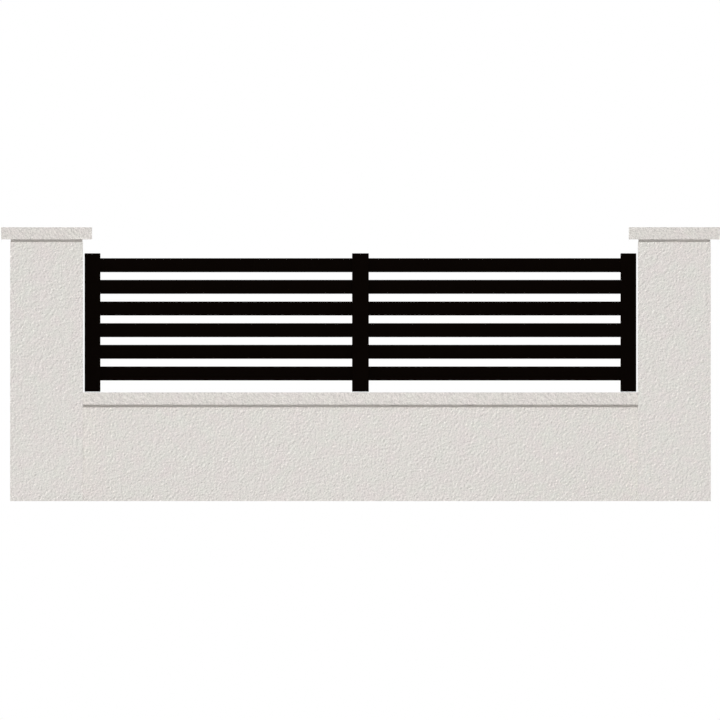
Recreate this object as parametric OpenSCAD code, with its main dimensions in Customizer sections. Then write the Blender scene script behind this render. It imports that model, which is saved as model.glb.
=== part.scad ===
// Slatted aluminium fence in two bays on a rendered low wall, between two capped masonry pillars.
// Millimetres. +X runs along the fence, +Y towards its back, +Z up.
// The origin is on the ground, below the middle post.

/* [Low wall] */
// Clear length of the low wall, from pillar to pillar
wall_length = 3050; // [2400:10:4200]
// Thickness of the low wall, render included
wall_thickness = 200; // [150:5:280]
// Height of the low wall above the ground, coping included
wall_height = 597; // [400:1:900]

/* [Coping, caps and mortar beds] */
// Thickness of the coping slab
coping_thickness = 67; // [40:1:90]
// Overhang of the coping beyond the front and the back of the low wall
coping_overhang = 50; // [35:1:70]
// Thickness of the pillar caps
cap_thickness = 67; // [40:1:90]
// Overhang of a cap beyond each face of its pillar
cap_overhang = 50; // [35:1:70]
// Thickness of the mortar beds under the coping and the caps
bed_thickness = 13; // [5:1:20]
// How far the mortar is raked back from the rendered face
bed_setback = 3; // [0:1:15]
// Distance from the edge of an overhang to its drip groove
drip_inset = 15; // [8:1:20]
// Width of the drip groove
drip_width = 10; // [5:1:12]
// Depth of the drip groove
drip_depth = 6; // [3:1:10]

/* [Pillars] */
// Width and depth of each square pillar, render included
pillar_width = 400; // [300:10:500]
// Height of the pillar shafts above the tops of the posts
pillar_head = 63; // [10:1:300]

/* [Posts] */
// Width of the two end posts, which have one slat groove
end_post_width = 87; // [70:1:120]
// Width of the middle post, which has two slat grooves
middle_post_width = 92; // [75:1:120]
// Depth of all posts, from front to back
post_depth = 90; // [60:1:120]
// Wall thickness of the post extrusions
post_wall = 3; // [2:0.5:4]
// Radius of the posts' upright edges
post_corner = 2; // [1:0.5:5]
// Gap between an end post and its pillar
pillar_gap = 9; // [3:1:40]
// Height of the posts above the top slat, post cap included
post_head = 27; // [10:1:120]
// Thickness of the cap plates on the posts
post_cap_thickness = 4; // [3:0.5:8]
// Bevel along the top edges of the cap plates
post_cap_bevel = 2; // [1:0.5:2.5]
// Depth of the cap's plug inside the post
post_cap_plug = 20; // [10:1:40]
// Thickness of the foot plates under the posts
foot_thickness = 5; // [3:0.5:10]
// How far the foot plates are set back from the posts' faces
foot_inset = 1.5; // [0.5:0.5:1.5]
// Height of the foot's spigot inside the post
foot_spigot = 50; // [30:1:150]
// Wall thickness of the spigots and the cap plugs
plug_wall = 5; // [3:0.5:6]

/* [Slats] */
// Number of slats in each bay
slat_count = 6; // [3:1:12]
// Height of a slat's face
slat_height = 77; // [50:1:110]
// Thickness of a slat, from front to back
slat_thickness = 20; // [15:1:30]
// Open gap between two slats
slat_gap = 42; // [10:1:80]
// Height of the lowest slat above the bottom of the posts
slat_rise = 61; // [10:1:150]
// Wall thickness of the slat extrusions
slat_wall = 1.6; // [1.2:0.1:3]
// Radius of the slats' long edges
slat_corner = 1.5; // [1:0.5:3]
// Length of each slat end inside its post
slat_grip = 20; // [10:1:22]

/* [Clearances] */
// Clearance of a slat on each side in its groove
groove_clearance = 0.5; // [0.2:0.1:1]
// Room for a slat to grow in length at the bottom of its groove
slat_end_clearance = 3; // [1:0.5:4]
// Clearance of the spigots and plugs inside a post
plug_clearance = 0.3; // [0.2:0.1:0.5]
// How far the spacers sit behind the mouth of a groove
spacer_recess = 1; // [0:0.5:4]

/* [Hidden] */

// Sides of the fence and of a post: left is towards -X
LEFT = -1;
RIGHT = 1;

render_colour = [0.86, 0.84, 0.82];
stone_colour = [0.85, 0.83, 0.81];
mortar_colour = [0.60, 0.58, 0.56];
coated_colour = [0.05, 0.04, 0.04];
bare_metal_colour = [0.75, 0.76, 0.77];

corner_facets = 32;
cut = 1; // how far a cutting tool runs past the face it opens

// Masonry levels and sizes
coping_bottom = wall_height - coping_thickness;
wall_body_height = coping_bottom - bed_thickness;
coping_depth = wall_thickness + 2 * coping_overhang;
cap_width = pillar_width + 2 * cap_overhang;
pillar_x = (wall_length + pillar_width) / 2;

// Post levels and places
slat_pitch = slat_height + slat_gap;
slat_stack = slat_count * slat_height + (slat_count - 1) * slat_gap;
post_bottom = wall_height + foot_thickness;
post_top = post_bottom + slat_rise + slat_stack + post_head;
post_length = post_top - post_cap_thickness - post_bottom;
end_post_x = wall_length / 2 - pillar_gap - end_post_width / 2;
shaft_height = post_top + pillar_head;

// Grooves and slats
groove_width = slat_thickness + 2 * groove_clearance;
groove_depth = slat_grip + slat_end_clearance;
slat_bottom = post_bottom + slat_rise;
bay_start = middle_post_width / 2;
bay_clear = end_post_x - end_post_width / 2 - bay_start;
bay_x = bay_start + bay_clear / 2;
slat_length = bay_clear + 2 * slat_grip;

// A rectangle with round corners, centred
module round_rectangle(width, height, radius) {
    square([width - 2 * radius, height], center = true);
    square([width, height - 2 * radius], center = true);
    for (x = [-1, 1], y = [-1, 1])
        translate([x * (width / 2 - radius), y * (height / 2 - radius)])
            circle(r = radius, $fn = corner_facets);
}

// A slab on the XY plane, centred
module slab(length, depth, height) {
    translate([-length / 2, -depth / 2, 0])
        cube([length, depth, height]);
}

// ---- Masonry ----

module low_wall() {
    color(render_colour)
        slab(wall_length, wall_thickness, wall_body_height);
}

module coping_bed() {
    color(mortar_colour)
        translate([0, 0, wall_body_height])
            slab(wall_length, wall_thickness - 2 * bed_setback, bed_thickness);
}

module coping() {
    groove_y = coping_depth / 2 - drip_inset - drip_width / 2;
    color(stone_colour)
        translate([0, 0, coping_bottom])
            difference() {
                slab(wall_length, coping_depth, coping_thickness);
                for (y = [-groove_y, groove_y])
                    translate([0, y, -cut])
                        slab(wall_length + 2 * cut, drip_width, drip_depth + cut);
            }
}

module pillar(side) {
    color(render_colour)
        translate([side * pillar_x, 0, 0])
            slab(pillar_width, pillar_width, shaft_height);
}

module cap_bed(side) {
    bed_width = pillar_width - 2 * bed_setback;
    color(mortar_colour)
        translate([side * pillar_x, 0, shaft_height])
            slab(bed_width, bed_width, bed_thickness);
}

module pillar_cap(side) {
    outer = cap_width - 2 * drip_inset;
    inner = outer - 2 * drip_width;
    color(stone_colour)
        translate([side * pillar_x, 0, shaft_height + bed_thickness])
            difference() {
                slab(cap_width, cap_width, cap_thickness);
                difference() {
                    translate([0, 0, -cut])
                        slab(outer, outer, drip_depth + cut);
                    translate([0, 0, -2 * cut])
                        slab(inner, inner, drip_depth + 4 * cut);
                }
            }
}

// ---- Posts ----

// In this section grooves lists the sides of a post that have a slat groove: LEFT, RIGHT or both.
// The chamber is what the grooves leave of a post's hollow: its width, and its centre.
function chamber_width(width, grooves) = width - 2 * post_wall - len(grooves) * groove_depth;
function chamber_x(grooves) = len(grooves) == 2 ? 0 : -grooves[0] * groove_depth / 2;

// Cross-section of a post extrusion
module post_section(width, grooves) {
    difference() {
        round_rectangle(width, post_depth, post_corner);
        difference() {
            square([width - 2 * post_wall, post_depth - 2 * post_wall], center = true);
            for (side = grooves)
                translate([side * (width - groove_depth - post_wall) / 2, 0])
                    square([groove_depth + post_wall, groove_width + 2 * post_wall], center = true);
        }
        for (side = grooves)
            translate([side * (width - groove_depth + cut) / 2, 0])
                square([groove_depth + cut, groove_width], center = true);
    }
}

module post(x, width, grooves) {
    color(coated_colour)
        translate([x, 0, post_bottom])
            linear_extrude(post_length)
                post_section(width, grooves);
}

// Square ring that fits a post's chamber
module chamber_plug(width, grooves, height) {
    plug_width = chamber_width(width, grooves) - 2 * plug_clearance;
    plug_depth = post_depth - 2 * post_wall - 2 * plug_clearance;
    translate([chamber_x(grooves), 0, 0])
        linear_extrude(height)
            difference() {
                square([plug_width, plug_depth], center = true);
                square([plug_width - 2 * plug_wall, plug_depth - 2 * plug_wall], center = true);
            }
}

// Foot plate on the coping, with a spigot up inside the post
module post_foot(x, width, grooves) {
    color(bare_metal_colour)
        translate([x, 0, wall_height]) {
            slab(width - 2 * foot_inset, post_depth - 2 * foot_inset, foot_thickness);
            // the spigot starts inside the plate, so that the two are one solid
            chamber_plug(width, grooves, foot_thickness + foot_spigot);
        }
}

// Cap plate with bevelled top edges
module cap_plate(width) {
    straight = post_cap_thickness - post_cap_bevel;
    intersection() {
        linear_extrude(post_cap_thickness)
            round_rectangle(width, post_depth, post_corner);
        rotate([90, 0, 0])
            linear_extrude(post_depth + 2 * cut, center = true)
                bevelled_plate_outline(width, straight);
        rotate([90, 0, 90])
            linear_extrude(width + 2 * cut, center = true)
                bevelled_plate_outline(post_depth, straight);
    }
}

module bevelled_plate_outline(width, straight) {
    half = width / 2;
    polygon([
        [-half, 0], [half, 0], [half, straight],
        [half - post_cap_bevel, post_cap_thickness],
        [-half + post_cap_bevel, post_cap_thickness],
        [-half, straight],
    ]);
}

module post_cap(x, width, grooves) {
    color(coated_colour)
        translate([x, 0, post_top - post_cap_thickness]) {
            cap_plate(width);
            // the plug reaches up into the plate, so that the two are one solid
            translate([0, 0, -post_cap_plug])
                chamber_plug(width, grooves, post_cap_plug + post_cap_thickness / 2);
        }
}

// Spacers that fill a groove below, between and above the slat ends.
// mouth_x is where the groove opens, and inwards points from there into the post.
module spacers(mouth_x, inwards) {
    spacer_length = groove_depth - spacer_recess;
    color(coated_colour)
        translate([mouth_x + inwards * (spacer_recess + spacer_length / 2), 0, 0]) {
            translate([0, 0, post_bottom])
                slab(spacer_length, slat_thickness, slat_rise);
            for (i = [1 : slat_count - 1])
                translate([0, 0, slat_bottom + i * slat_pitch - slat_gap])
                    slab(spacer_length, slat_thickness, slat_gap);
            translate([0, 0, slat_bottom + slat_stack])
                slab(spacer_length, slat_thickness, post_head - post_cap_thickness);
        }
}

// ---- Slats ----

// Cross-section of a slat extrusion, with a web halfway up
module slat_section() {
    chamber_height = (slat_height - 3 * slat_wall) / 2;
    difference() {
        round_rectangle(slat_thickness, slat_height, slat_corner);
        for (half = [-1, 1])
            translate([0, half * (chamber_height + slat_wall) / 2])
                square([slat_thickness - 2 * slat_wall, chamber_height], center = true);
    }
}

// Slat number i of a bay, counted from 1 at the top
module slat(side, i) {
    color(coated_colour)
        translate([side * bay_x, 0, slat_bottom + (slat_count - i) * slat_pitch + slat_height / 2])
            rotate([90, 0, 90])
                linear_extrude(slat_length, center = true)
                    slat_section();
}

// ---- Nodes ----

low_wall();
coping_bed();
coping();

pillar(LEFT);  // left_pillar
cap_bed(LEFT);  // left_cap_bed
pillar_cap(LEFT);  // left_pillar_cap
pillar(RIGHT);  // right_pillar
cap_bed(RIGHT);  // right_cap_bed
pillar_cap(RIGHT);  // right_pillar_cap

post_foot(-end_post_x, end_post_width, [RIGHT]);  // left_post_foot
post(-end_post_x, end_post_width, [RIGHT]);  // left_post
spacers(-bay_start - bay_clear, LEFT);  // left_post_spacers
post_cap(-end_post_x, end_post_width, [RIGHT]);  // left_post_cap

post_foot(0, middle_post_width, [LEFT, RIGHT]);  // middle_post_foot
post(0, middle_post_width, [LEFT, RIGHT]);  // middle_post
spacers(-bay_start, RIGHT);  // middle_post_left_spacers
spacers(bay_start, LEFT);  // middle_post_right_spacers
post_cap(0, middle_post_width, [LEFT, RIGHT]);  // middle_post_cap

post_foot(end_post_x, end_post_width, [LEFT]);  // right_post_foot
post(end_post_x, end_post_width, [LEFT]);  // right_post
spacers(bay_start + bay_clear, RIGHT);  // right_post_spacers
post_cap(end_post_x, end_post_width, [LEFT]);  // right_post_cap

for (i = [1 : slat_count]) {
    slat(LEFT, i);
    slat(RIGHT, i);
}
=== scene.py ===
"""Dresses a slatted fence that stands on a low wall between two capped pillars.

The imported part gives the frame, and every place and most sizes are read from its nodes.
The masonry is rebuilt as closed blocks whose faces have real relief, the slats as one
row of extrusions a bay. Posts, their feet and caps and the groove spacers keep the
meshes of their nodes and get a finish.
"""

from __future__ import annotations

import logging
import math
from abc import ABC, abstractmethod
from collections.abc import Iterator, Mapping
from dataclasses import dataclass
from enum import Enum
from functools import cache
from typing import Any, ClassVar, Union

import bpy
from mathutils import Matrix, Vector


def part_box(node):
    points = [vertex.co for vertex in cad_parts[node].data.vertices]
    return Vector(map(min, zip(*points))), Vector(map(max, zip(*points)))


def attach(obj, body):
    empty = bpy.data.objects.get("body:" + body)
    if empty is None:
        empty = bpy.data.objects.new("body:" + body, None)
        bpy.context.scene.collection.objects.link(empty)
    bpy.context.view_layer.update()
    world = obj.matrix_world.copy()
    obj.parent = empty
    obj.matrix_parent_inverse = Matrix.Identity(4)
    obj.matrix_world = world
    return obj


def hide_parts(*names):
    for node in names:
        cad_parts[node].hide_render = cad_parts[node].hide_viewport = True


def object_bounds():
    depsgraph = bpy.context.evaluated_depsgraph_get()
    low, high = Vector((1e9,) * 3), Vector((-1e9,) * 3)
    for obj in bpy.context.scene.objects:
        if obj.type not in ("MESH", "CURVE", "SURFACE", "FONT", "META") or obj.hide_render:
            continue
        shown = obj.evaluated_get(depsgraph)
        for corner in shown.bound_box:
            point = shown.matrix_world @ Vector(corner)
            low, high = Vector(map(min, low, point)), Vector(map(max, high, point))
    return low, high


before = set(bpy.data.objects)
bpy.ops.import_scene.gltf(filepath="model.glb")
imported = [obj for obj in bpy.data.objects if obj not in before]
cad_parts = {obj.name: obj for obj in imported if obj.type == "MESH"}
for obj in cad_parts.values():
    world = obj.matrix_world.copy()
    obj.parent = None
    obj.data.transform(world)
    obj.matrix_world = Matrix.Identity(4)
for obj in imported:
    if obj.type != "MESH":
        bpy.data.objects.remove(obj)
CAD_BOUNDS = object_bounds()

LOG = logging.getLogger("fence")
BODY = "root"
MM = 0.001

Socket = bpy.types.NodeSocket
Value = Union[Socket, float, int, bool, tuple, Vector, bpy.types.Material]
Colour = tuple[float, float, float]
Span = tuple[float, float]


# ---- Node trees ----


class NodeGraph:
    """Adds nodes to one node tree and wires them as they are added."""

    def __init__(self, tree: bpy.types.NodeTree) -> None:
        """Takes the shader or geometry node tree to fill."""
        self.tree = tree

    def add(self, kind: str, inputs: Mapping[str, Value] | None = None, **settings: Any) -> bpy.types.Node:
        """Adds a node.

        Args:
            kind: The node's type name.
            inputs: Values or sockets for its inputs, by socket identifier.
            **settings: The node's own settings, such as operation.

        Returns:
            The new node.
        """
        node = self.tree.nodes.new(kind)
        for name, value in settings.items():
            setattr(node, name, value)
        sockets = {socket.identifier: socket for socket in node.inputs}
        for identifier, value in (inputs or {}).items():
            self.feed(sockets[identifier], value)
        return node

    def feed(self, socket: Socket, value: Value) -> None:
        """Links a socket to another, or gives it a value of its own.

        Args:
            socket: The input to feed.
            value: An output socket or a plain value.
        """
        if isinstance(value, bpy.types.NodeSocket):
            self.tree.links.new(value, socket)
        else:
            socket.default_value = value

    def math(self, operation: str, *operands: Value) -> Socket:
        """Returns the result of a Math node on one to three numbers or sockets."""
        keys = ("Value", "Value_001", "Value_002")
        return self.add("ShaderNodeMath", dict(zip(keys, operands)), operation=operation).outputs[0]

    def vector(self, operation: str, *operands: Value) -> Socket:
        """Returns the vector that a Vector Math node makes of one or two vectors or sockets."""
        keys = ("Vector", "Vector_001")
        return self.add("ShaderNodeVectorMath", dict(zip(keys, operands)), operation=operation).outputs[0]

    def scaled(self, vector: Value, factor: Value) -> Socket:
        """Returns the vector's socket times a factor."""
        inputs = {"Vector": vector, "Scale": factor}
        return self.add("ShaderNodeVectorMath", inputs, operation="SCALE").outputs[0]

    def combine(self, x: Value, y: Value, z: Value) -> Socket:
        """Returns a vector made of three numbers."""
        return self.add("ShaderNodeCombineXYZ", {"X": x, "Y": y, "Z": z}).outputs[0]

    def separate(self, vector: Value) -> tuple[Socket, Socket, Socket]:
        """Returns the three numbers of a vector."""
        outputs = self.add("ShaderNodeSeparateXYZ", {"Vector": vector}).outputs
        return outputs[0], outputs[1], outputs[2]

    def smooth_step(
        self, value: Value, low: Value, high: Value, start: Value = 0.0, end: Value = 1.0
    ) -> Socket:
        """Returns start where the value is low or less, end where it is high or more, eased between."""
        inputs = {"Value": value, "From Min": low, "From Max": high, "To Min": start, "To Max": end}
        return self.add("ShaderNodeMapRange", inputs, interpolation_type="SMOOTHSTEP").outputs[0]

    def noise(
        self, place: Value, size: Value, detail: float = 2.0, rough: float = 0.5, seed: Value = 0.0
    ) -> Socket:
        """Adds smooth noise centred on zero.

        Args:
            place: The coordinates.
            size: Size of one wave in the coordinates' units.
            detail: How many finer octaves it holds.
            rough: How strong each finer octave is.
            seed: Picks another noise.

        Returns:
            A socket that runs from about -1 to 1.
        """
        inputs = {
            "Vector": place,
            "W": seed,
            "Scale": self.math("DIVIDE", 1.0, size),
            "Detail": detail,
            "Roughness": rough,
        }
        plain = self.add("ShaderNodeTexNoise", inputs, noise_dimensions="4D").outputs["Fac"]
        return self.math("MULTIPLY_ADD", plain, 2.0, -1.0)

    def mix_colour(self, share: Value, first: Value, second: Value, blend: str = "MIX") -> Socket:
        """Blends two colours.

        Args:
            share: The second colour's share, from 0 to 1.
            first: A colour or its socket.
            second: Another.
            blend: How the second goes over the first.

        Returns:
            The blend's socket.
        """
        inputs = {"Factor_Float": share, "A_Color": first, "B_Color": second}
        node = self.add("ShaderNodeMix", inputs, data_type="RGBA", blend_type=blend)
        return node.outputs[2]


class GeometryTree(NodeGraph):
    """A Geometry Nodes tree with named inputs that makes plain meshes."""

    SOCKET_KINDS = {
        float: "NodeSocketFloat",
        int: "NodeSocketInt",
        bool: "NodeSocketBool",
        tuple: "NodeSocketVector",
    }

    def __init__(self, name: str, inputs: Mapping[str, float | int | bool | tuple]) -> None:
        """Makes the tree and its inputs.

        Args:
            name: The tree's name.
            inputs: Each input's name and its value when none is given. A material is always an input.
        """
        super().__init__(bpy.data.node_groups.new(name, "GeometryNodeTree"))
        interface = self.tree.interface
        self.identifiers: dict[str, str] = {}
        for title, value in inputs.items():
            kind = self.SOCKET_KINDS[type(value)]
            socket = interface.new_socket(name=title, in_out="INPUT", socket_type=kind)
            socket.default_value = value
            self.identifiers[title] = socket.identifier
        socket = interface.new_socket(name="Finish", in_out="INPUT", socket_type="NodeSocketMaterial")
        self.identifiers["Finish"] = socket.identifier
        interface.new_socket(name="Geometry", in_out="OUTPUT", socket_type="NodeSocketGeometry")
        self.given = {socket.name: socket for socket in self.add("NodeGroupInput").outputs}

    def close(self, geometry: Socket) -> None:
        """Ends the tree: instances become real, and the finish is put on.

        Args:
            geometry: What the tree has made.
        """
        real = self.add("GeometryNodeRealizeInstances", {"Geometry": geometry}).outputs[0]
        inputs = {"Geometry": real, "Material": self.given["Finish"]}
        dressed = self.add("GeometryNodeSetMaterial", inputs).outputs[0]
        output = self.add("NodeGroupOutput")
        self.feed(output.inputs[0], dressed)

    def mesh(
        self, piece: str, finish: bpy.types.Material, **values: float | int | bool | tuple
    ) -> bpy.types.Object:
        """Runs the tree and keeps its result as a plain mesh.

        Args:
            piece: The new object's name.
            finish: The material for the whole piece.
            **values: The tree's inputs, by name, with _ for a space.

        Returns:
            The object, at the origin, with no modifier.
        """
        made = bpy.data.objects.new(piece, bpy.data.meshes.new(piece))
        bpy.context.scene.collection.objects.link(made)
        modifier = made.modifiers.new(self.tree.name, "NODES")
        modifier.node_group = self.tree
        modifier[self.identifiers["Finish"]] = finish
        for title, value in values.items():
            modifier[self.identifiers[title.replace("_", " ").capitalize()]] = value
        made.update_tag()
        evaluated = made.evaluated_get(bpy.context.evaluated_depsgraph_get())
        result = bpy.data.meshes.new_from_object(evaluated)
        result.materials.clear()
        result.materials.append(finish)
        result.polygons.foreach_set("material_index", [0] * len(result.polygons))
        made.modifiers.clear()
        spare, made.data = made.data, result
        bpy.data.meshes.remove(spare)
        made.data.name = piece
        return made


@dataclass(frozen=True)
class Grain:
    """The relief of a masonry face: ridges in the shading and broader swells in the mesh.

    Attributes:
        ridge: Width of a ridge.
        ridge_height: Height of the ridges over the mean face.
        swell: Width of a swell.
        swell_height: Height of the swells over the mean face.
        stretch: Length of a ridge or swell in widths.
        slant: Angle of the ridges above the horizontal, seen from the front.
        lie: How strictly they all lie that way, from 0 to 1.
        seed: Picks another pattern of the same kind.
        sparseness: 1 for ridges of even strength, more for a few strong ones among faint ones.
    """

    ridge: float
    ridge_height: float
    swell: float
    swell_height: float
    stretch: float
    slant: float
    lie: float
    seed: float
    sparseness: float = 1.0

    PARTING: ClassVar[float] = 0.22  # how far its two noises are moved apart, each way, in ridge widths
    STEEPNESS: ClassVar[float] = 2.0  # brings the difference of the two to about -1 to 1

    @staticmethod
    def pattern(
        graph: NodeGraph, place: Value, size: Value, stretch: Value, slant: Value, lie: Value, seed: Value
    ) -> Socket:
        """Adds short ridges that lie one way, as a plasterer's float leaves them.

        Args:
            graph: The tree to add to.
            place: The coordinates, in metres.
            size: Width of a ridge.
            stretch: Length of a ridge in widths.
            slant: Angle of the ridges above the horizontal.
            lie: How strictly they all lie that way, from 0 to 1.
            seed: Picks another pattern.

        Returns:
            A socket that runs from about -1 in the valleys to 1 on the ridges.
        """
        inputs = {"Vector": place, "Angle": slant}
        turned = graph.add("ShaderNodeVectorRotate", inputs, rotation_type="Y_AXIS").outputs[0]
        along = graph.math("DIVIDE", 1.0, stretch)
        drawn = graph.vector("MULTIPLY", turned, graph.combine(along, 1.0, 1.0))
        step = graph.combine(0.0, 0.0, graph.math("MULTIPLY", size, Grain.PARTING))
        above, below = (
            graph.noise(graph.vector(way, drawn, step), size, detail=1.0, rough=0.4, seed=seed)
            for way in ("ADD", "SUBTRACT")
        )
        rise = graph.math("SUBTRACT", above, graph.math("MULTIPLY", below, lie))
        return graph.math("MULTIPLY", rise, Grain.STEEPNESS)

    def ridges(self, graph: NodeGraph, place: Value) -> Socket:
        """Adds the ridges to a shader tree.

        Args:
            graph: The tree to add to.
            place: The coordinates, in metres.

        Returns:
            A socket that runs from about -1 in the valleys to 1 on the ridges.
        """
        even = self.pattern(graph, place, self.ridge, self.stretch, self.slant, self.lie, self.seed)
        strength = graph.math("POWER", graph.math("ABSOLUTE", even), self.sparseness)
        return graph.math("MULTIPLY", graph.math("SIGN", even), strength)


class DripLine(Enum):
    """Where a slab has a drip groove on its underside."""

    NONE = 0.0
    FRONT_AND_BACK = 1.0
    ALL_ROUND = 2.0


class BlockTree(GeometryTree):
    """Makes a closed masonry block with eased arrises, drip grooves and relief."""

    SHARP = math.radians(60)  # an edge between faces that turn by more is shaded as a sharp one
    SAME = 0.1  # a number closer than this to an option's means that option
    UNDERSIDE = 0.5 * MM  # a point no higher than this above the lowest is on the underside
    GROOVE_REACH = 0.55  # rows closer than this to a groove's middle are raised, in groove widths
    LOOKS_DOWN = -0.5  # a face whose normal points lower than this gets no relief
    FLAT, ROUNDED = 0.98, 0.75  # the largest part of a normal on a face, and on the round of an edge
    SOUND, BROKEN = 0.1, 0.5  # levels of the chip noise for a whole edge and for a fully chipped one

    def __init__(self) -> None:
        """Builds the tree."""
        super().__init__(
            "Masonry block",
            {
                "Size": (1.0, 1.0, 1.0),
                "Base": (0.0, 0.0, 0.0),
                "Rows x": 2,
                "Rows y": 2,
                "Rows z": 2,
                "Arris": 4 * MM,
                "Sharp below": False,
                "Chip size": 40 * MM,
                "Chip depth": 2 * MM,
                "Drip line": 0.0,
                "Drip inset": 15 * MM,
                "Drip width": 10 * MM,
                "Drip depth": 6 * MM,
                "Swell size": 20 * MM,
                "Swell stretch": 1.0,
                "Swell slant": 0.0,
                "Swell lie": 1.0,
                "Swell height": 0.5 * MM,
                "Wave size": 400 * MM,
                "Wave height": 1 * MM,
                "Seed": 0.0,
            },
        )
        block = self.shaded(self.eased(self.box()))
        block = self.grooved(block)
        block = self.placed(block)
        self.close(self.in_relief(block))

    def here(self) -> Socket:
        """Returns the position of each point."""
        return self.add("GeometryNodeInputPosition").outputs[0]

    def moved(self, geometry: Socket, offset: Value, chosen: Value = True) -> Socket:
        """Returns the geometry with its chosen points moved by an offset."""
        inputs = {"Geometry": geometry, "Offset": offset, "Selection": chosen}
        return self.add("GeometryNodeSetPosition", inputs).outputs[0]

    def box(self) -> Socket:
        """Makes the plain box as a grid of rows, centred on the origin.

        Returns:
            The box.
        """
        given = self.given
        inputs = {
            "Size": given["Size"],
            "Vertices X": given["Rows x"],
            "Vertices Y": given["Rows y"],
            "Vertices Z": given["Rows z"],
        }
        return self.add("GeometryNodeMeshCube", inputs).outputs[0]

    def eased(self, geometry: Socket) -> Socket:
        """Rounds the edges, with the next row of the mesh drawn up to where each rounding starts.

        Args:
            geometry: The plain box.

        Returns:
            The block.
        """
        given, arris = self.given, self.given["Arris"]
        half = self.scaled(given["Size"], 0.5)
        radius = self.combine(arris, arris, arris)
        rows = self.combine(given["Rows x"], given["Rows y"], given["Rows z"])
        cell = self.vector("DIVIDE", given["Size"], self.vector("SUBTRACT", rows, (1.0, 1.0, 1.0)))
        place = self.here()
        inwards = self.vector("SUBTRACT", half, self.vector("ABSOLUTE", place))
        one, none = (1.0, 1.0, 1.0), (0.0, 0.0, 0.0)
        # Along each axis the share is 1 on the first row in from the edge, and 0 on all others.
        from_next = self.vector("SUBTRACT", self.vector("DIVIDE", inwards, cell), one)
        from_next = self.vector("ABSOLUTE", from_next)
        share = self.vector("MAXIMUM", self.vector("SUBTRACT", one, from_next), none)
        draw = self.vector("MULTIPLY", share, self.vector("SUBTRACT", cell, radius))
        drawn = self.vector("ADD", place, self.vector("MULTIPLY", draw, self.vector("SIGN", place)))
        core = self.vector("SUBTRACT", half, radius)
        sharp = self.combine(0.0, 0.0, self.math("MULTIPLY", given["Sharp below"], arris))
        floor = self.vector("SUBTRACT", self.scaled(core, -1.0), sharp)
        nearest = self.vector("MINIMUM", self.vector("MAXIMUM", drawn, floor), core)
        outwards = self.vector("NORMALIZE", self.vector("SUBTRACT", drawn, nearest))
        rounded = self.vector("ADD", nearest, self.scaled(outwards, arris))
        return self.add("GeometryNodeSetPosition", {"Geometry": geometry, "Position": rounded}).outputs[0]

    def shaded(self, geometry: Socket) -> Socket:
        """Shades the faces smooth, but not across a sharp edge.

        Args:
            geometry: The block so far.

        Returns:
            The block.
        """
        smooth = self.add("GeometryNodeSetShadeSmooth", {"Geometry": geometry}).outputs[0]
        turn = self.add("GeometryNodeInputMeshEdgeAngle").outputs["Unsigned Angle"]
        inputs = {
            "Geometry": smooth,
            "Selection": self.math("GREATER_THAN", turn, self.SHARP),
            "Shade Smooth": False,
        }
        return self.add("GeometryNodeSetShadeSmooth", inputs, domain="EDGE").outputs[0]

    def grooved(self, geometry: Socket) -> Socket:
        """Raises the rows of the underside that lie in a drip groove.

        Args:
            geometry: The block so far.

        Returns:
            The block.
        """
        given = self.given
        x, y, z = self.separate(self.here())
        half_x, half_y, half_z = self.separate(self.scaled(given["Size"], 0.5))
        from_side = self.math("SUBTRACT", half_x, self.math("ABSOLUTE", x))
        from_front = self.math("SUBTRACT", half_y, self.math("ABSOLUTE", y))
        nearest = self.math("MINIMUM", from_side, from_front)
        all_round = self.math("COMPARE", given["Drip line"], DripLine.ALL_ROUND.value, self.SAME)
        inputs = {"Factor_Float": all_round, "A_Float": from_front, "B_Float": nearest}
        from_edge = self.add("ShaderNodeMix", inputs).outputs[0]
        middle = self.math("MULTIPLY_ADD", given["Drip width"], 0.5, given["Drip inset"])
        off = self.math("ABSOLUTE", self.math("SUBTRACT", from_edge, middle))
        inside = self.math("LESS_THAN", off, self.math("MULTIPLY", given["Drip width"], self.GROOVE_REACH))
        low = self.math("LESS_THAN", self.math("ADD", z, half_z), self.UNDERSIDE)
        chosen = self.math("MULTIPLY", self.math("MULTIPLY", inside, low), given["Drip line"])
        return self.moved(geometry, self.combine(0.0, 0.0, given["Drip depth"]), chosen)

    def placed(self, geometry: Socket) -> Socket:
        """Returns the block with its underside set on its base point."""
        lift = self.vector("MULTIPLY", self.given["Size"], (0.0, 0.0, 0.5))
        return self.moved(geometry, self.vector("ADD", self.given["Base"], lift))

    def in_relief(self, geometry: Socket) -> Socket:
        """Moves each face along its normals by grain, waves and chipped arrises.

        Args:
            geometry: The block so far.

        Returns:
            The block.
        """
        given = self.given
        place, seed = self.here(), given["Seed"]
        normal = self.add("GeometryNodeInputNormal").outputs[0]
        form = [given[name] for name in ("Swell size", "Swell stretch", "Swell slant", "Swell lie")]
        swells = Grain.pattern(self, place, *form, seed)
        wave = self.noise(place, given["Wave size"], detail=1.0, seed=seed)
        relief = self.math("MULTIPLY", swells, given["Swell height"])
        relief = self.math("MULTIPLY_ADD", wave, given["Wave height"], relief)
        x, y, z = self.separate(self.vector("ABSOLUTE", normal))
        flatness = self.math("MAXIMUM", self.math("MAXIMUM", x, y), z)
        on_edge = self.smooth_step(flatness, self.FLAT, self.ROUNDED)
        chipping = self.noise(place, given["Chip size"], detail=3.0, seed=seed)
        broken = self.smooth_step(chipping, self.SOUND, self.BROKEN)
        chip = self.math("MULTIPLY", self.math("MULTIPLY", on_edge, broken), given["Chip depth"])
        relief = self.math("SUBTRACT", relief, chip)
        faces_down = self.math("LESS_THAN", self.separate(normal)[2], self.LOOKS_DOWN)
        chosen = self.math("SUBTRACT", 1.0, faces_down)
        return self.moved(geometry, self.scaled(normal, relief), chosen)


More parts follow.
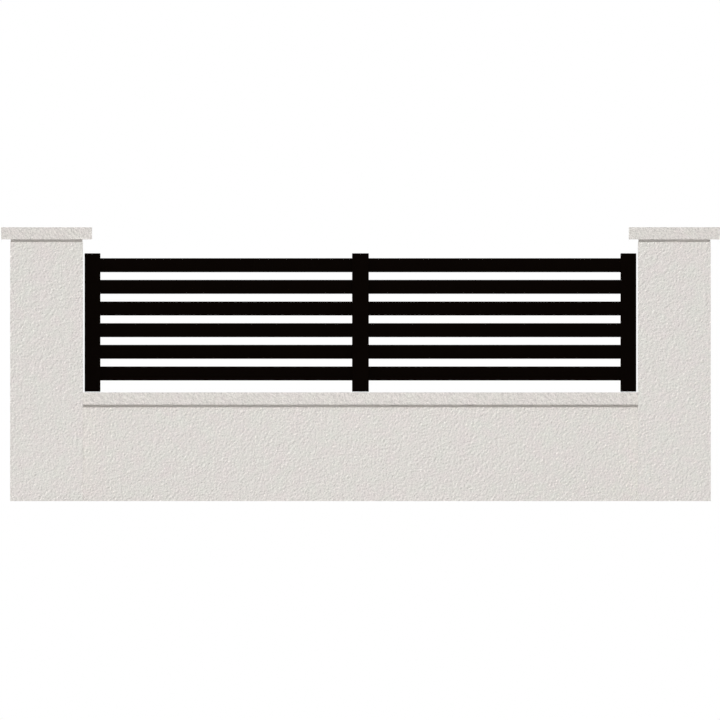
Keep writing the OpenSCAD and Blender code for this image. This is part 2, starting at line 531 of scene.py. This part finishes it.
class SlatRowTree(GeometryTree):
    """Makes a row of equal slats, one below the other."""

    def __init__(self) -> None:
        """Builds the tree."""
        super().__init__(
            "Slat row",
            {
                "Slats": 2,
                "Pitch": 0.1,
                "Top slat": (0.0, 0.0, 0.0),
                "Length": 1.0,
                "Height": 0.08,
                "Thickness": 0.02,
                "Edge radius": 1.5 * MM,
                "Edge facets": 5,
            },
        )
        self.close(self.row(self.slat()))

    def slat(self) -> Socket:
        """Extrudes the slat's rounded section along X, centred on the origin.

        Returns:
            The slat.
        """
        given = self.given
        inputs = {"Width": given["Thickness"], "Height": given["Height"]}
        section = self.add("GeometryNodeCurvePrimitiveQuadrilateral", inputs).outputs[0]
        inputs = {"Curve": section, "Count": given["Edge facets"], "Radius": given["Edge radius"]}
        section = self.add("GeometryNodeFilletCurve", inputs, mode="POLY").outputs[0]
        half = self.math("MULTIPLY", given["Length"], 0.5)
        inputs = {
            "Start": self.combine(self.math("MULTIPLY", half, -1.0), 0.0, 0.0),
            "End": self.combine(half, 0.0, 0.0),
        }
        line = self.add("GeometryNodeCurvePrimitiveLine", inputs).outputs[0]
        inputs = {"Curve": line, "Profile Curve": section, "Fill Caps": True}
        return self.add("GeometryNodeCurveToMesh", inputs).outputs[0]

    def row(self, slat: Socket) -> Socket:
        """Puts a slat at each step down from the top one.

        Args:
            slat: The slat.

        Returns:
            The row.
        """
        given = self.given
        down = self.combine(0.0, 0.0, self.math("MULTIPLY", given["Pitch"], -1.0))
        inputs = {"Count": given["Slats"], "Start Location": given["Top slat"], "Offset": down}
        steps = self.add("GeometryNodeMeshLine", inputs, mode="OFFSET").outputs[0]
        return self.add("GeometryNodeInstanceOnPoints", {"Points": steps, "Instance": slat}).outputs[0]


# ---- Finishes ----


class Finish(ABC):
    """A finish that makes its material once and hands it to every piece that wears it."""

    name: str
    slot: str

    @abstractmethod
    def shade(self, graph: NodeGraph, surface: bpy.types.Node, place: Socket) -> None:
        """Wires the surface shader.

        Args:
            graph: The material's tree.
            surface: Its Principled shader.
            place: Coordinates on the piece, in metres.
        """

    @cache
    def material(self) -> bpy.types.Material:
        """Makes the material on the first call, and keeps it for the next ones.

        Returns:
            The material.
        """
        made = bpy.data.materials.new(self.name)
        made.use_nodes = True
        graph = NodeGraph(made.node_tree)
        place = graph.add("ShaderNodeTexCoord").outputs["Object"]
        self.shade(graph, made.node_tree.nodes["Principled BSDF"], place)
        return made


@dataclass(frozen=True)
class MineralFinish(Finish):
    """Render, cast stone or mortar: grainy, matt and slightly uneven in colour, with painted shade in the
    grain's valleys and painted light on its crests.

    Attributes:
        name: The material's name.
        slot: The record's material slot; not used.
        warm: Colour of the warmer patches.
        cool: Colour of the cooler patches.
        patch: Size of the patches.
        grain: The relief.
        painted_grain_shading: Painted light and shade on the grain: how much darker its valleys are, from 0
            to 1; its crests are painted lighter by it too.
        painted_crest_highlight: Painted highlight: how much more the crests stand out than the valleys do.
        grit: Size of the pale and dark stones in the mix.
        grit_contrast: How much they stand out.
        sand: Size of the sand grains.
        sand_depth: Depth of the relief of the sand.
        roughness: Mean roughness.
        gloss: The shader's specular level.
        sand_contrast: How much the sand changes the colour.
        sand_sheen: How much it changes the roughness.
        patch_span: Levels of the patches' noise where the colour is the cool and the warm one.
        patch_seed: Added to the grain's seed for the patches.
        grit_seed: Added to it for the grit.
    """

    name: str
    slot: str
    warm: Colour
    cool: Colour
    patch: float
    grain: Grain
    painted_grain_shading: float
    painted_crest_highlight: float
    grit: float
    grit_contrast: float
    sand: float
    sand_depth: float
    roughness: float
    gloss: float = 0.25
    sand_contrast: float = 0.03
    sand_sheen: float = 0.05
    patch_span: Span = (-0.5, 0.5)
    patch_seed: float = 7.0
    grit_seed: float = 3.0

    def shade(self, graph: NodeGraph, surface: bpy.types.Node, place: Socket) -> None:
        """Colours patches and grit, paints shade into the grain's valleys and light onto its crests, and adds
        the relief of grain and sand.

        Args:
            graph: The material's tree.
            surface: Its Principled shader.
            place: Coordinates on the piece, in metres.
        """
        seed = self.grain.seed
        ridges = self.grain.ridges(graph, place)
        sand = graph.noise(place, self.sand, detail=2.0, rough=0.7, seed=seed)
        patch = graph.noise(place, self.patch, detail=3.0, rough=0.55, seed=seed + self.patch_seed)
        share = graph.smooth_step(patch, *self.patch_span)
        base = graph.mix_colour(share, (*self.cool, 1.0), (*self.warm, 1.0))
        # Painted light and shade: the grain's crests are painted lighter and its valleys darker.
        crests = graph.math("MULTIPLY", ridges, graph.math("MULTIPLY_ADD", ridges, self.painted_crest_highlight, 1.0))
        shade = graph.math("MULTIPLY_ADD", crests, self.painted_grain_shading, 1.0)
        stones = graph.noise(place, self.grit, detail=0.0, seed=seed + self.grit_seed)
        stones = graph.math("MULTIPLY", stones, graph.math("ABSOLUTE", stones))
        shade = graph.math("MULTIPLY_ADD", stones, self.grit_contrast, shade)
        shade = graph.math("MULTIPLY_ADD", sand, self.sand_contrast, shade)
        graph.feed(surface.inputs["Base Color"], graph.mix_colour(1.0, base, shade, "MULTIPLY"))
        rough = graph.math("MULTIPLY_ADD", sand, self.sand_sheen, self.roughness)
        graph.feed(surface.inputs["Roughness"], rough)
        surface.inputs["Specular IOR Level"].default_value = self.gloss
        coarse = graph.add("ShaderNodeBump", {"Height": ridges, "Distance": self.grain.ridge_height})
        fine = graph.add(
            "ShaderNodeBump", {"Height": sand, "Distance": self.sand_depth, "Normal": coarse.outputs[0]}
        )
        graph.feed(surface.inputs["Normal"], fine.outputs[0])


@dataclass(frozen=True)
class CoatFinish(Finish):
    """Dark powder coat with a fine orange-peel relief and a little dusting on top, which also serves as
    painted top light.

    Attributes:
        name: The material's name.
        slot: The record's material slot; not used.
        colour: The coat's colour.
        dust_and_top_light: Colour of the dusting on faces that look up, which also lightens them as painted
            top light.
        roughness: Mean roughness.
        gloss: The shader's specular level.
        peel: Size of the orange-peel cells.
        peel_depth: Depth of their relief.
        cloud: Size of the clouds in the dusting with its painted top light, and in the sheen.
        cloud_span: Levels of the clouds' noise where the dusting and painted top light are thin and where
            they are full.
        cloud_sheen: How much the clouds change the roughness.
        looks_up: How far a normal points up where the dusting and painted top light start, and where they are
            full.
        dust_and_light_share: The share of the colour that the dusting and painted top light take where they
            are full.
        thin_dust_and_light: What is left of them between the clouds.
        dust_sheen: How much rougher a full dusting is than the coat.
    """

    name: str
    slot: str
    colour: Colour
    dust_and_top_light: Colour
    roughness: float
    gloss: float
    peel: float
    peel_depth: float
    cloud: float = 60 * MM
    cloud_span: Span = (-0.6, 0.6)
    cloud_sheen: float = 0.06
    looks_up: Span = (0.6, 0.95)
    dust_and_light_share: float = 0.5
    thin_dust_and_light: float = 0.5
    dust_sheen: float = 0.3

    def shade(self, graph: NodeGraph, surface: bpy.types.Node, place: Socket) -> None:
        """Lays a dusting on the upper faces that also serves as painted top light, and gives the coat its
        peel.

        Args:
            graph: The material's tree.
            surface: Its Principled shader.
            place: Coordinates on the piece, in metres.
        """
        peel = graph.noise(place, self.peel, detail=1.0, seed=3.0)
        cloud = graph.noise(place, self.cloud, detail=3.0, rough=0.6, seed=5.0)
        up = graph.separate(graph.add("ShaderNodeNewGeometry").outputs["Normal"])[2]
        # A dusting on faces that look up, which also paints them lighter as painted top light.
        dusted_and_lit = graph.smooth_step(up, *self.looks_up, 0.0, self.dust_and_light_share)
        dusted_and_lit = graph.math("MULTIPLY", dusted_and_lit, graph.smooth_step(cloud, *self.cloud_span, self.thin_dust_and_light))
        base = graph.mix_colour(dusted_and_lit, (*self.colour, 1.0), (*self.dust_and_top_light, 1.0))
        graph.feed(surface.inputs["Base Color"], base)
        rough = graph.math("MULTIPLY_ADD", cloud, self.cloud_sheen, self.roughness)
        rough = graph.math("MULTIPLY_ADD", dusted_and_lit, self.dust_sheen, rough)
        graph.feed(surface.inputs["Roughness"], rough)
        surface.inputs["Specular IOR Level"].default_value = self.gloss
        bump = graph.add("ShaderNodeBump", {"Height": peel, "Distance": self.peel_depth})
        graph.feed(surface.inputs["Normal"], bump.outputs[0])


@dataclass(frozen=True)
class MillFinish(Finish):
    """Bare extruded aluminium with faint draw lines.

    Attributes:
        name: The material's name.
        slot: The record's material slot; not used.
        colour: The metal's colour.
        roughness: Mean roughness.
        line: Width of a draw line.
        line_depth: Its depth.
        line_sheen: How much the lines change the roughness.
        line_length: Length of a line in widths.
        cloud: Size of the clouds of oxide.
        cloud_span: Levels of their noise where the oxide is full and where there is none.
        oxide: What full oxide leaves of the metal's colour.
    """

    name: str
    slot: str
    colour: Colour
    roughness: float
    line: float = 0.8 * MM
    line_depth: float = 0.01 * MM
    line_sheen: float = 0.1
    line_length: float = 20.0
    cloud: float = 30 * MM
    cloud_span: Span = (-0.4, 0.6)
    oxide: float = 0.9

    def shade(self, graph: NodeGraph, surface: bpy.types.Node, place: Socket) -> None:
        """Draws lines along X in the roughness and the relief.

        Args:
            graph: The material's tree.
            surface: Its Principled shader.
            place: Coordinates on the piece, in metres.
        """
        drawn = graph.vector("MULTIPLY", place, (1 / self.line_length, 1.0, 1.0))
        lines = graph.noise(drawn, self.line, detail=2.0, rough=0.7, seed=11.0)
        cloud = graph.noise(place, self.cloud, detail=3.0, seed=13.0)
        shade = graph.smooth_step(cloud, *self.cloud_span, self.oxide)
        base = graph.mix_colour(1.0, (*self.colour, 1.0), shade, "MULTIPLY")
        graph.feed(surface.inputs["Base Color"], base)
        surface.inputs["Metallic"].default_value = 1.0
        rough = graph.math("MULTIPLY_ADD", lines, self.line_sheen, self.roughness)
        graph.feed(surface.inputs["Roughness"], rough)
        bump = graph.add("ShaderNodeBump", {"Height": lines, "Distance": self.line_depth})
        graph.feed(surface.inputs["Normal"], bump.outputs[0])


RENDER = MineralFinish(
    name="coarse_render",
    slot="render",
    warm=(0.700, 0.655, 0.637),
    cool=(0.684, 0.675, 0.635),
    patch=100 * MM,
    grain=Grain(
        ridge=11.5 * MM,
        ridge_height=1.5 * MM,
        swell=24 * MM,
        swell_height=0.5 * MM,
        stretch=1.15,
        slant=math.radians(51),
        lie=0.88,
        seed=1.0,
        sparseness=1.45,
    ),
    # Painted light and shade on the grain's crests and valleys.
    painted_grain_shading=0.275,
    painted_crest_highlight=0.4,
    grit=5 * MM,
    grit_contrast=0.9,
    sand=2.5 * MM,
    sand_depth=0.2 * MM,
    roughness=0.93,
)
CAST_STONE = MineralFinish(
    name="pale_cast_stone",
    slot="cast_stone",
    warm=(0.679, 0.635, 0.612),
    cool=(0.669, 0.649, 0.610),
    patch=80 * MM,
    grain=Grain(
        ridge=12 * MM,
        ridge_height=1.4 * MM,
        swell=24 * MM,
        swell_height=0.3 * MM,
        stretch=1.2,
        slant=math.radians(-45),
        lie=0.4,
        seed=21.0,
    ),
    # Painted light and shade on the grain's crests and valleys.
    painted_grain_shading=0.18,
    painted_crest_highlight=0.0,
    grit=5 * MM,
    grit_contrast=1.0,
    sand=2 * MM,
    sand_depth=0.15 * MM,
    roughness=0.88,
)
MORTAR = MineralFinish(
    name="bed_mortar",
    slot="mortar",
    warm=(0.635, 0.602, 0.568),
    cool=(0.626, 0.602, 0.576),
    patch=90 * MM,
    grain=Grain(
        ridge=10 * MM,
        ridge_height=1 * MM,
        swell=20 * MM,
        swell_height=0.8 * MM,
        stretch=1.5,
        slant=0.0,
        lie=0.5,
        seed=41.0,
    ),
    # Painted light and shade on the grain's crests and valleys.
    painted_grain_shading=0.08,
    painted_crest_highlight=0.0,
    grit=4 * MM,
    grit_contrast=0.3,
    sand=1.5 * MM,
    sand_depth=0.2 * MM,
    roughness=0.95,
)
COAT = CoatFinish(
    name="black_powder_coat",
    slot="black_coating",
    colour=(0.0014, 0.0005, 0.0001),
    # A dusting on upper faces that also serves as painted top light.
    dust_and_top_light=(0.02, 0.018, 0.016),
    roughness=0.6,
    gloss=0.008,
    peel=1.5 * MM,
    peel_depth=0.02 * MM,
)
SPACER_COAT = CoatFinish(
    name="black_spacer_coat",
    slot="spacer_coating",
    colour=(0.003, 0.002, 0.001),
    # A dusting on upper faces that also serves as painted top light.
    dust_and_top_light=(0.02, 0.018, 0.016),
    roughness=0.7,
    gloss=0.1,
    peel=0.8 * MM,
    peel_depth=0.02 * MM,
)
MILL = MillFinish(name="mill_aluminium", slot="bare_aluminium", colour=(0.50, 0.505, 0.51), roughness=0.5)


# ---- Sub-assemblies ----


class Side(Enum):
    """An end of the fence, seen from the front."""

    LEFT = "left"
    RIGHT = "right"


class PostPlace(Enum):
    """Where a post stands, and which groove spacers it holds."""

    LEFT = ("left", ("left_post_spacers",))
    MIDDLE = ("middle", ("middle_post_left_spacers", "middle_post_right_spacers"))
    RIGHT = ("right", ("right_post_spacers",))


class Assembly(ABC):
    """A part of the fence that builds and dresses its own pieces."""

    @abstractmethod
    def build(self) -> Iterator[bpy.types.Object]:
        """Builds the pieces.

        Yields:
            Each piece, when it is done.
        """

    @staticmethod
    def stand_for(piece: bpy.types.Object, finish: Finish, *nodes: str) -> bpy.types.Object:
        """Lets a new piece ride on the frame in place of its nodes.

        Args:
            piece: The new piece.
            finish: What it wears; not used.
            *nodes: The nodes that it replaces.

        Returns:
            The piece.
        """
        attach(piece, BODY)
        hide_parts(*nodes)
        return piece

    @staticmethod
    def dress(node: str, finish: Finish) -> bpy.types.Object:
        """Puts a finish on a node that keeps its own mesh.

        Args:
            node: The node's name.
            finish: What it wears.

        Returns:
            The node's object.
        """
        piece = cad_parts[node]
        piece.data.materials.clear()
        piece.data.materials.append(finish.material())
        return piece


@dataclass
class Block:
    """One block of masonry that takes its place and size from a node.

    Attributes:
        tree: The tree that makes it.
        node: The node that it stands for.
        finish: What it wears.
        rows: Distance between the rows of its mesh, along X, Y and Z.
        arris: Radius of its edges.
        sharp_below: Whether its lower edges stay sharp.
        chip_depth: How deep the edges are chipped.
        wave_height: How far its faces are out of flat.
        lap: How far it runs on into the pillars at its ends.
        drip: Where it has a drip groove.
        drip_depth: Depth of that groove.
    """

    tree: BlockTree
    node: str
    finish: MineralFinish
    rows: tuple[float, float, float]
    arris: float = 3 * MM
    sharp_below: bool = False
    chip_depth: float = 1.5 * MM
    wave_height: float = 0.8 * MM
    lap: float = 0.0
    drip: DripLine = DripLine.NONE
    drip_depth: float = 6 * MM

    def build(self) -> bpy.types.Object:
        """Makes the block in place of its node.

        Returns:
            The block.
        """
        low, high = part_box(self.node)
        size = high - low + Vector((2 * self.lap, 0.0, 0.0))
        middle = (low + high) / 2
        counts = [max(2, round(length / step) + 1) for length, step in zip(size, self.rows)]
        grain = self.finish.grain
        piece = self.tree.mesh(
            self.node + "_" + self.finish.name,
            self.finish.material(),
            size=tuple(size),
            base=(middle.x, middle.y, low.z),
            rows_x=counts[0],
            rows_y=counts[1],
            rows_z=counts[2],
            arris=self.arris,
            sharp_below=self.sharp_below,
            chip_depth=self.chip_depth,
            drip_line=self.drip.value,
            drip_depth=self.drip_depth,
            swell_size=grain.swell,
            swell_stretch=grain.stretch,
            swell_slant=grain.slant,
            swell_lie=grain.lie,
            swell_height=grain.swell_height,
            wave_height=self.wave_height,
            seed=grain.seed,
        )
        return Assembly.stand_for(piece, self.finish, self.node)


@dataclass
class LowWall(Assembly):
    """The low wall, its mortar bed and its coping.

    Attributes:
        tree: Makes the blocks.
        render_row: Distance between the rows of the rendered faces.
        hidden_row: The same from front to back in the wall and the mortar bed, where no face shows.
        coping_row: The same on the coping.
        coping_arris: Radius of the coping's edges.
        coping_chips: How deep they are chipped.
        bed_row: Distance between the rows along the mortar bed.
        bed_rise: The same up its sides.
        bed_arris: Radius of its edges.
        lap: How far the wall, the bed and the coping run on into the pillars.
    """

    tree: BlockTree
    render_row: float = 7 * MM
    hidden_row: float = 40 * MM
    coping_row: float = 6 * MM
    coping_arris: float = 1.5 * MM
    coping_chips: float = 1.2 * MM
    bed_row: float = 6 * MM
    bed_rise: float = 3 * MM
    bed_arris: float = 1.5 * MM
    lap: float = 3 * MM

    def build(self) -> Iterator[bpy.types.Object]:
        """Builds the wall from the ground up.

        Yields:
            The wall, the mortar bed and the coping.
        """
        rows = (self.render_row, self.hidden_row, self.render_row)
        yield Block(
            self.tree, "low_wall", RENDER, rows, lap=self.lap, sharp_below=True, chip_depth=0.0
        ).build()
        rows = (self.bed_row, self.hidden_row, self.bed_rise)
        yield Block(self.tree, "coping_bed", MORTAR, rows, self.bed_arris, lap=self.lap).build()
        rows = (self.coping_row,) * 3
        yield Block(
            self.tree,
            "coping",
            CAST_STONE,
            rows,
            self.coping_arris,
            sharp_below=True,
            chip_depth=self.coping_chips,
            lap=self.lap,
            drip=DripLine.FRONT_AND_BACK,
        ).build()


@dataclass
class Pillar(Assembly):
    """A pillar, its mortar bed and its cap.

    Attributes:
        tree: Makes the blocks.
        side: The end of the fence that it stands at.
        arris: Radius of the shaft's edges.
        chip_depth: How deep they are chipped.
        render_row: Distance between the rows of the rendered faces.
        bed_row: The same along and across the mortar bed.
        bed_rise: The same up its sides.
        bed_arris: Radius of its edges.
        cap_row: Distance between the rows of the cap.
        cap_arris: Radius of the cap's edges.
        cap_chips: How deep they are chipped.
    """

    tree: BlockTree
    side: Side
    arris: float = 1.2 * MM
    chip_depth: float = 1 * MM
    render_row: float = 7 * MM
    bed_row: float = 12 * MM
    bed_rise: float = 4 * MM
    bed_arris: float = 1.5 * MM
    cap_row: float = 5 * MM
    cap_arris: float = 1.5 * MM
    cap_chips: float = 1.2 * MM

    def build(self) -> Iterator[bpy.types.Object]:
        """Builds the pillar from the ground up.

        Yields:
            The shaft, the mortar bed and the cap.
        """
        end = self.side.value
        rows = (self.render_row,) * 3
        yield Block(
            self.tree, f"{end}_pillar", RENDER, rows, self.arris, sharp_below=True, chip_depth=self.chip_depth
        ).build()
        rows = (self.bed_row, self.bed_row, self.bed_rise)
        yield Block(self.tree, f"{end}_cap_bed", MORTAR, rows, self.bed_arris).build()
        rows = (self.cap_row,) * 3
        yield Block(
            self.tree,
            f"{end}_pillar_cap",
            CAST_STONE,
            rows,
            self.cap_arris,
            sharp_below=True,
            chip_depth=self.cap_chips,
            drip=DripLine.ALL_ROUND,
        ).build()


@dataclass
class SlatBay(Assembly):
    """The slats of one bay.

    Attributes:
        tree: Makes the row.
        side: The bay's end of the fence.
        edge_radius: Radius of the slats' long edges.
    """

    tree: SlatRowTree
    side: Side
    edge_radius: float = 1.5 * MM

    def nodes(self) -> list[str]:
        """Returns the bay's slat nodes, from the top down."""
        mine = [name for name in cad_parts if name.startswith(f"{self.side.value}_slat_")]
        return sorted(mine, key=lambda name: -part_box(name)[0].z)

    def build(self) -> Iterator[bpy.types.Object]:
        """Builds the row of slats in place of its nodes.

        Yields:
            The row.
        """
        slats = self.nodes()
        low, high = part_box(slats[0])
        piece = self.tree.mesh(
            f"{self.side.value}_bay_slats",
            COAT.material(),
            slats=len(slats),
            pitch=low.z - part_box(slats[1])[0].z,
            top_slat=tuple((low + high) / 2),
            length=high.x - low.x,
            height=high.z - low.z,
            thickness=high.y - low.y,
            edge_radius=self.edge_radius,
        )
        yield self.stand_for(piece, COAT, *slats)


@dataclass
class Post(Assembly):
    """A post with its foot, its cap and the spacers in its grooves.

    Attributes:
        place: Where it stands.
    """

    place: PostPlace

    def build(self) -> Iterator[bpy.types.Object]:
        """Dresses the post's nodes from the foot up.

        Yields:
            The foot, the post, its spacers and its cap.
        """
        name, spacers = self.place.value
        yield self.dress(f"{name}_post_foot", MILL)
        yield self.dress(f"{name}_post", COAT)
        for node in spacers:
            yield self.dress(node, SPACER_COAT)
        yield self.dress(f"{name}_post_cap", COAT)


# ---- Stage ----


@dataclass(frozen=True)
class Lamp:
    """A soft flat lamp that is aimed at the fence.

    Attributes:
        name: The lamp's name.
        azimuth: Where it stands round the fence, in degrees from the front towards the right.
        elevation: Its height above the horizon, in degrees.
        distance: Its distance from the fence.
        width: Its width.
        height: Its height.
        light: What it alone would give a white face that looks at it, with 1 for full white.
    """

    name: str
    azimuth: float
    elevation: float
    distance: float
    width: float
    height: float
    light: float

    def build(self, target: Vector) -> bpy.types.Object:
        """Hangs the lamp.

        Args:
            target: The point that it looks at.

        Returns:
            The lamp's object.
        """
        data = bpy.data.lights.new(self.name, "AREA")
        data.shape = "RECTANGLE"
        data.size = self.width
        data.size_y = self.height
        # At distance d a flat lamp of power P makes a white face that looks at it P / (pi * d) ** 2 bright.
        data.energy = self.light * math.pi * math.pi * self.distance**2
        lamp = bpy.data.objects.new(self.name, data)
        turn, rise = math.radians(self.azimuth), math.radians(self.elevation)
        way = Vector((math.sin(turn) * math.cos(rise), -math.cos(turn) * math.cos(rise), math.sin(rise)))
        lamp.location = target + way * self.distance
        lamp.rotation_euler = way.to_track_quat("Z", "Y").to_euler()
        lamp.visible_camera = False
        bpy.context.scene.collection.objects.link(lamp)
        return lamp


@dataclass
class Stage:
    """The floor, the light and the camera.

    Attributes:
        sky: How bright the surroundings are as light.
        lamps: The lamps.
        floor_radius: Radius of the floor.
        floor_corners: How many corners its rim has.
        floor_bounce: How much light the floor throws back, close to the fence and far from it.
        bounce_reach: Distances before and behind the fence between which the one turns into the other.
        floor_colour: Colour of the floor to the eye.
        floor_glow: Share of plain white in the floor to the eye.
        fade_start: Distance from the fence at which the floor starts to fade into the backdrop.
        fade_end: Distance at which it is plain white.
        view_width: Width that the camera takes in.
        view_centre: Point of the front that is in the middle of the picture, along X and Z.
        view_distance: How far before the fence the camera stands.
    """

    sky: float = 0.28
    lamps: tuple[Lamp, ...] = (
        Lamp("key_lamp", azimuth=0.0, elevation=15.2, distance=60.0, width=7.2, height=7.2, light=0.48),
        Lamp("fill_lamp", azimuth=0.0, elevation=-4.0, distance=7.0, width=3.0, height=0.5, light=0.31),
        Lamp("left_lamp", azimuth=-100.0, elevation=10.0, distance=15.0, width=4.0, height=4.0, light=0.65),
        Lamp("right_lamp", azimuth=100.0, elevation=10.0, distance=15.0, width=4.0, height=4.0, light=0.5),
        Lamp("back_lamp", azimuth=180.0, elevation=50.0, distance=12.0, width=4.0, height=4.0, light=0.6),
    )
    floor_radius: float = 60.0
    floor_corners: int = 96
    floor_bounce: Span = (0.42, 0.3)
    bounce_reach: Span = (0.3, 1.5)
    floor_colour: float = 0.95
    floor_glow: float = 0.3
    fade_start: float = 2.2
    fade_end: float = 5.0
    view_width: float = 3.957
    view_centre: tuple[float, float] = (-0.0024, 0.7755)
    view_distance: float = 10.0

    def build(self) -> None:
        """Sets up everything round the fence."""
        bpy.context.scene.view_settings.view_transform = "Standard"
        low, high = CAD_BOUNDS
        middle = (low + high) / 2
        for lamp in self.lamps:
            lamp.build(middle)
        self.light_sky()
        self.lay_floor()
        self.set_camera()

    @staticmethod
    def seen_straight(graph: NodeGraph) -> Socket:
        """Tells rays that show the surroundings from rays that light things.

        Args:
            graph: The tree to add to.

        Returns:
            A socket that is 1 for the first kind and 0 for the second.
        """
        rays = graph.add("ShaderNodeLightPath").outputs
        mirrored = graph.math("MAXIMUM", rays["Is Glossy Ray"], rays["Is Transmission Ray"])
        return graph.math("MAXIMUM", rays["Is Camera Ray"], mirrored)

    def light_sky(self) -> None:
        """Makes the surroundings white to the eye and softer as light."""
        world = bpy.data.worlds.new("studio")
        world.use_nodes = True
        graph = NodeGraph(world.node_tree)
        background = world.node_tree.nodes["Background"]
        background.inputs["Color"].default_value = (1.0, 1.0, 1.0, 1.0)
        strength = graph.smooth_step(self.seen_straight(graph), 0.0, 1.0, self.sky, 1.0)
        graph.feed(background.inputs["Strength"], strength)
        bpy.context.scene.world = world

    def lay_floor(self) -> None:
        """Lays a round pale floor that fades into the backdrop and keeps the fence's shadow."""
        corners, reach = self.floor_corners, self.floor_radius
        turns = [2 * math.pi * step / corners for step in range(corners)]
        rim = [(reach * math.cos(turn), reach * math.sin(turn), 0.0) for turn in turns]
        mesh = bpy.data.meshes.new("floor")
        mesh.from_pydata(rim, [], [list(range(corners))])
        floor = bpy.data.objects.new("floor", mesh)
        bpy.context.scene.collection.objects.link(floor)
        mesh.materials.append(self.floor_material())

    def floor_material(self) -> bpy.types.Material:
        """Makes the floor's material: matt and pale, with white mixed in for the eye.

        Returns:
            The material.
        """
        material = bpy.data.materials.new("pale_floor")
        material.use_nodes = True
        graph = NodeGraph(material.node_tree)
        tree = material.node_tree
        tree.nodes.remove(tree.nodes["Principled BSDF"])
        seen = self.seen_straight(graph)
        place = graph.add("ShaderNodeTexCoord").outputs["Object"]
        depth = graph.math("ABSOLUTE", graph.separate(place)[1])
        bounce = graph.smooth_step(depth, *self.bounce_reach, *self.floor_bounce)
        tone = graph.smooth_step(seen, 0.0, 1.0, bounce, self.floor_colour)
        matt = graph.add("ShaderNodeBsdfDiffuse", {"Color": graph.combine(tone, tone, tone)}).outputs[0]
        white = graph.add("ShaderNodeEmission").outputs[0]
        away = graph.add("ShaderNodeVectorMath", {"Vector": place}, operation="LENGTH").outputs["Value"]
        share = graph.smooth_step(away, self.fade_start, self.fade_end, self.floor_glow, 1.0)
        share = graph.math("MULTIPLY", share, seen)
        mixed = graph.add("ShaderNodeMixShader", {"Fac": share, "Shader": matt, "Shader_001": white})
        graph.feed(tree.nodes["Material Output"].inputs["Surface"], mixed.outputs[0])
        return material

    def set_camera(self) -> None:
        """Puts the camera square in front of the fence, with no perspective."""
        data = bpy.data.cameras.new("camera")
        data.type = "ORTHO"
        data.ortho_scale = self.view_width
        camera = bpy.data.objects.new("camera", data)
        x, z = self.view_centre
        camera.location = (x, -self.view_distance, z)
        camera.rotation_euler = (math.pi / 2, 0.0, 0.0)
        bpy.context.scene.collection.objects.link(camera)
        bpy.context.scene.camera = camera


# ---- Whole ----


def main() -> None:
    """Builds the sub-assemblies in order, reports each piece and sets the stage."""
    logging.basicConfig(level=logging.INFO, format="%(name)s: %(message)s")
    blocks, slat_rows = BlockTree(), SlatRowTree()
    assemblies: list[Assembly] = [LowWall(blocks)]
    assemblies += [Pillar(blocks, side) for side in Side]
    assemblies += [SlatBay(slat_rows, side) for side in Side]
    assemblies += [Post(place) for place in PostPlace]
    for assembly in assemblies:
        for piece in assembly.build():
            LOG.info("%s has %d faces", piece.name, len(piece.data.polygons))
    Stage().build()


if __name__ == "__main__":
    main()
